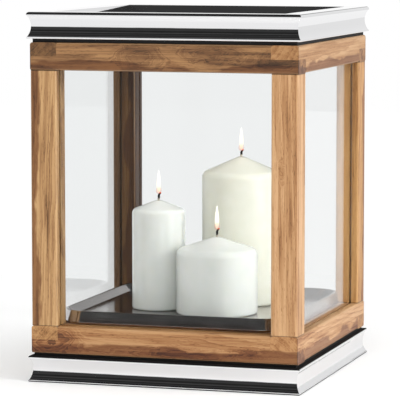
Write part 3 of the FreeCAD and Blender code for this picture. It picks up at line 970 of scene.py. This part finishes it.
@dataclass
class PillarCandle:
    """One lit pillar candle: wax, wick and flame."""

    kind: str
    wax: PouredWax
    wax_slot: str
    edge: float
    shoulder: float
    foot: float = 3.0 * MM
    well: float = 4.0 * MM
    around: int = 128
    flame_height: float = 28.0 * MM
    flame_width: float = 7.6 * MM
    low: Vector = field(init=False)
    high: Vector = field(init=False)
    axis: Vector = field(init=False)

    def __post_init__(self) -> None:
        """Reads the candle's place from the frame."""
        self.low, self.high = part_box(f"candle_{self.kind}")
        self.axis = (self.low + self.high) / 2

    def build(self) -> None:
        """Models the wax, the wick and the flame."""
        for piece in (self.pour(), self.braid(), *self.light()):
            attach(piece, f"{self.kind}_candle")
            log.info("candle: %s", piece.name)

    def pour(self) -> Object:
        """Models the wax: a cylinder drawn up to a low cone, with a melted dimple round the wick.

        Returns:
            The wax piece.
        """
        radius = (self.high.x - self.low.x) / 2
        bpy.ops.object.select_all(action="DESELECT")
        bpy.ops.mesh.primitive_cylinder_add(
            vertices=self.around, radius=radius, depth=self.shoulder,
            location=(self.axis.x, self.axis.y, self.low.z + self.shoulder / 2))
        wax = named(bpy.context.object, f"wax_{self.kind}")
        top = self.low.z + self.shoulder
        rise = self.high.z - top
        slope = rise / radius
        with editing(wax):
            pick(Part.FACES, lambda f: f.normal.z > 0.9)
            reach = radius
            for share in (0.6, 0.3, 0.16, self.well / radius):
                step = reach - share * radius
                bpy.ops.mesh.inset(thickness=step, depth=step * slope)
                reach = share * radius
            bpy.ops.mesh.inset(thickness=self.well * 0.45, depth=-0.5 * MM)
            pick(Part.EDGES, lambda e: all(abs(v.co.z - top) < ONE_LEVEL for v in e.verts))
            bpy.ops.mesh.bevel(offset=self.edge * 0.9, segments=9, affect="EDGES", profile=0.5)
            pick(Part.EDGES, lambda e: all(abs(v.co.z - self.low.z) < ONE_LEVEL for v in e.verts))
            bpy.ops.mesh.bevel(offset=self.foot, segments=5, affect="EDGES", profile=0.5)
            # Rings up the side, so that the surface can be slightly uneven.
            height = self.low.z + 10 * MM
            while height < top - self.edge - 4 * MM:
                bpy.ops.mesh.select_all(action="SELECT")
                bpy.ops.mesh.bisect(plane_co=(0, 0, height), plane_no=(0, 0, 1))
                height += 9 * MM
        self.uneven(wax)
        smooth(wax, 50)
        self.wax.dress(wax)
        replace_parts(wax, f"candle_{self.kind}")
        return wax

    def uneven(self, wax: Object) -> None:
        """Lets the wax side wander by a tenth of a millimetre, as a mould's wall does.

        Args:
            wax: the wax piece.
        """
        texture = bpy.data.textures.new(f"mould_{self.kind}", "CLOUDS")
        texture.noise_scale = 0.035
        apply_modifier(wax, "DISPLACE", texture=texture, strength=0.35 * MM, mid_level=0.62,
                       texture_coords="LOCAL")

    def braid(self) -> Object:
        """Models the wick: three strands laid round each other, bent over at the tip.

        Returns:
            The wick piece.
        """
        low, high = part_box(f"wick_{self.kind}")
        root = self.high.z - 3 * MM
        radius = (high.x - low.x) / 2 * 0.95
        steps = 14
        rise = (high.z - root) / steps
        strands = 3
        bpy.ops.object.select_all(action="DESELECT")
        bpy.ops.mesh.primitive_circle_add(vertices=18, radius=radius, fill_type="NGON",
                                          location=(self.axis.x, self.axis.y, root))
        wick = named(bpy.context.object, f"braided_wick_{self.kind}")
        for vertex in wick.data.vertices:
            out = vertex.co - Vector((self.axis.x, self.axis.y, root))
            lobe = 0.82 + 0.18 * math.cos(strands * math.atan2(out.y, out.x))
            vertex.co = vertex.co - out * (1 - lobe)
        with editing(wick):
            pick(Part.FACES, lambda f: True)
            for step in range(steps):
                bend = 0.22 * MM * max(0, step - steps // 2)
                bpy.ops.mesh.extrude_region_move(TRANSFORM_OT_translate={"value": (bend, 0, rise)})
                centre = (self.axis.x, self.axis.y, root)
                bpy.ops.transform.rotate(value=math.radians(16), orient_axis="Z", center_override=centre)
            bpy.ops.transform.resize(value=(0.5, 0.5, 1))
            bpy.ops.mesh.select_all(action="SELECT")
            bpy.ops.mesh.normals_make_consistent(inside=False)
        smooth(wick, 60)
        BraidedCotton(f"burnt_cotton_{self.kind}", self.high.z, high.z).dress(wick)
        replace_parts(wick, f"wick_{self.kind}")
        return wick

    def light(self) -> list[Object]:
        """Models the flame: a bright body inside a thin rosy veil.

        Returns:
            The two flame pieces.
        """
        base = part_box(f"wick_{self.kind}")[1].z - 2.6 * MM
        pieces = []
        for name, width, height, lift in (("flame", self.flame_width * 0.70, self.flame_height, 1.8 * MM),
                                          ("flame_veil", self.flame_width, self.flame_height * 0.42, 0.0)):
            bpy.ops.object.select_all(action="DESELECT")
            middle = (self.axis.x, self.axis.y, base + lift + height / 2)
            bpy.ops.mesh.primitive_uv_sphere_add(segments=32, ring_count=24, radius=1.0, location=middle)
            piece = bpy.context.object
            piece.scale = (width / 2, width / 2, height / 2)
            named(piece, f"{name}_{self.kind}")
            low_z = base + lift
            for vertex in piece.data.vertices:
                share = max(0.0, (vertex.co.z - low_z) / height)
                slim = 1.12 - 0.72 * share ** 1.6
                vertex.co.x = self.axis.x + (vertex.co.x - self.axis.x) * slim
                vertex.co.y = self.axis.y + (vertex.co.y - self.axis.y) * slim
            smooth(piece, 80)
            pieces.append(piece)
        body, veil = pieces
        Flame(f"flame_body_{self.kind}", base, base + self.flame_height + 1.4 * MM,
              ((0.0, "#FFBC9E"), (0.16, "#FFD8BA"), (0.34, "#FFF2DC"), (1.0, "#FFFFFA")),
              1.5, 0.12, 1.0).dress(body)
        Flame(f"flame_veil_{self.kind}", base, base + self.flame_height * 0.42,
              ((0.0, "#F0A48E"), (0.35, "#FFC8B2"), (0.7, "#FFDCC8"), (1.0, "#FFF4EC")),
              1.0, 0.18, 0.24).dress(veil)
        return pieces


@dataclass
class Studio:
    """Pale floor, soft lamps, the surroundings that the metal mirrors, and the camera."""

    camera_place: tuple[float, float, float] = (0.9553, -3.1442, 0.5444)
    camera_pitch: float = math.pi / 2 - 0.1021
    camera_yaw: float = 0.2962
    lens_mm: float = 240.7
    sensor_mm: float = 36.0
    floor_size: float = 9.0
    fill: float = 0.35

    def build(self) -> None:
        """Sets up the floor, the lamps, the surroundings and the camera."""
        bpy.context.scene.view_settings.view_transform = "Standard"
        self.lay_floor()
        self.hang_lamps()
        self.surround()
        self.place_camera()
        log.info("studio: floor, lamps, surroundings and camera")

    def lay_floor(self) -> None:
        """Lays one wide sheet of white paper under the lantern."""
        bpy.ops.object.select_all(action="DESELECT")
        bpy.ops.mesh.primitive_plane_add(size=self.floor_size, location=(0, 0, -0.2 * MM))
        floor = named(bpy.context.object, "paper_floor")
        StudioPaper("white_paper").dress(floor)

    def lamp(self, name: str, place: tuple[float, float, float], size: tuple[float, float], power: float,
             seen: bool) -> None:
        """Hangs one soft box, aimed at the middle of the lantern.

        Args:
            name: the lamp's name.
            place: where it hangs.
            size: its width and height.
            power: its power in watts.
            seen: whether glossy surfaces mirror it.
        """
        bpy.ops.object.select_all(action="DESELECT")
        bpy.ops.object.light_add(type="AREA", location=place)
        lamp = bpy.context.object
        lamp.name = name
        lamp.data.shape = "RECTANGLE"
        lamp.data.size, lamp.data.size_y = size
        lamp.data.energy = power
        lamp.visible_camera = False
        lamp.visible_glossy = seen
        lamp.visible_transmission = seen
        middle = Vector((0, 0, (cad_box[0].z + cad_box[1].z) / 2))
        lamp.rotation_euler = (middle - Vector(place)).to_track_quat("-Z", "Y").to_euler()

    def hang_lamps(self) -> None:
        """Hangs a tall strip to the right, and broad soft boxes overhead and in front."""
        self.lamp("strip_right", (2.1, -0.72, 0.75), (0.20, 1.7), 24.0, True)
        self.lamp("box_right", (2.4, 0.4, 1.0), (1.6, 1.6), 13.0, False)
        self.lamp("box_front", (-0.3, -2.8, 1.2), (2.0, 1.4), 30.0, False)
        self.lamp("box_above", (0.2, -0.2, 2.6), (2.6, 2.6), 38.0, False)

    def surround(self) -> None:
        """Surrounds the lantern with a white sweep behind and to the right, and a dim room in front."""
        world = bpy.data.worlds.new("studio")
        bpy.context.scene.world = world
        world.use_nodes = True
        tree = world.node_tree
        tree.nodes.clear()
        way = add(tree, "TexCoord", output="Generated")
        parts = {axis: add(tree, "SeparateXYZ", {"Vector": way}, axis) for axis in "XYZ"}
        # How high the white sweep reaches: low at the left rear, high at the right.
        reach = add(tree, "MapRange", {"Value": parts["X"], "From Min": -0.15, "From Max": 0.1,
                                       "To Min": 0.17, "To Max": 0.33})
        over = add(tree, "Math", {0: parts["Z"], 1: reach}, operation="SUBTRACT")
        white = add(tree, "MapRange", {"Value": parts["X"], "From Min": -0.1, "From Max": 0.25,
                                       "To Min": 1.0, "To Max": 0.87})
        rear = add(tree, "MapRange", {"Value": over, "From Min": -0.12, "From Max": 0.12, "To Min": white,
                                      "To Max": 0.02}, interpolation_type="SMOOTHSTEP")
        front = add(tree, "MapRange", {"Value": parts["Z"], "From Min": -0.02, "From Max": 0.03,
                                       "To Min": 1.0, "To Max": 0.02}, interpolation_type="SMOOTHSTEP")
        behind = add(tree, "MapRange", {"Value": parts["Y"], "From Min": -0.35, "From Max": -0.1})
        glow = add(tree, "Mix", {"Factor": behind, "A": front, "B": rear})
        # Faint strips of light high up.
        for level, half, power in ((0.50, 0.04, 0.04), (0.66, 0.03, 0.02), (0.80, 0.02, 0.05)):
            strip = add(tree, "Math", {0: parts["Z"], 1: level, 2: half}, operation="COMPARE")
            glow = add(tree, "Math", {0: strip, 1: power, 2: glow}, operation="MULTIPLY_ADD")
        scattered = add(tree, "LightPath", output="Is Diffuse Ray")
        fill = add(tree, "Math", {0: glow, 1: self.fill}, operation="MAXIMUM")
        glow = add(tree, "Mix", {"Factor": scattered, "A": glow, "B": fill})
        # Seen straight, or through clear glass, everything around is white.
        mirrored = add(tree, "LightPath", output="Glossy Depth")
        direct = add(tree, "Math", {0: 1.0, 1: mirrored}, operation="SUBTRACT", use_clamp=True)
        direct = add(tree, "Math", {0: direct, 1: scattered}, operation="SUBTRACT", use_clamp=True)
        strength = add(tree, "Mix", {"Factor": direct, "A": glow, "B": 1.0})
        # The room low in front is dim, so the lower hollows read dark grey.
        low = add(tree, "Math", {0: parts["Z"], 1: 0.16, 2: 0.14}, operation="COMPARE")
        dim = add(tree, "Mix", {"Factor": behind, "A": low, "B": 0.0})
        strength = add(tree, "Math", {0: dim, 1: 0.022, 2: strength}, operation="MULTIPLY_ADD")
        sky = add(tree, "Background", {"Color": "#FFFFFF", "Strength": strength})
        end = tree.nodes.new("ShaderNodeOutputWorld")
        tree.links.new(sky, end.inputs["Surface"])

    def place_camera(self) -> None:
        """Places the camera to the right of the front and a little above the top."""
        bpy.ops.object.select_all(action="DESELECT")
        bpy.ops.object.camera_add(location=self.camera_place,
                                  rotation=(self.camera_pitch, 0, self.camera_yaw))
        camera = bpy.context.object
        camera.name = "camera"
        camera.data.lens = self.lens_mm
        camera.data.sensor_width = self.sensor_mm
        camera.data.clip_start = 0.1
        camera.data.clip_end = 50.0
        bpy.context.scene.camera = camera


def main() -> None:
    """Builds the lantern's sub-assemblies in order, then the studio round them."""
    white = PouredWax("poured_white_wax", "#E6E7E4", "#E0E3DE")
    ivory = PouredWax("poured_ivory_wax", "#E0DFD4", "#DBDACC")
    TimberFrame().build()
    Fixings().build()
    MetalRims().build()
    GlazedSides().build()
    CandleTray().build()
    PillarCandle("slim", white, "white_wax", edge=5 * MM, shoulder=122.5 * MM).build()
    PillarCandle("short", white, "white_wax", edge=7 * MM, shoulder=78.0 * MM).build()
    PillarCandle("tall", ivory, "ivory_wax", edge=7 * MM, shoulder=163.5 * MM).build()
    Studio().build()


if __name__ == "__main__":
    logging.basicConfig(level=logging.INFO, format="%(message)s")
    main()
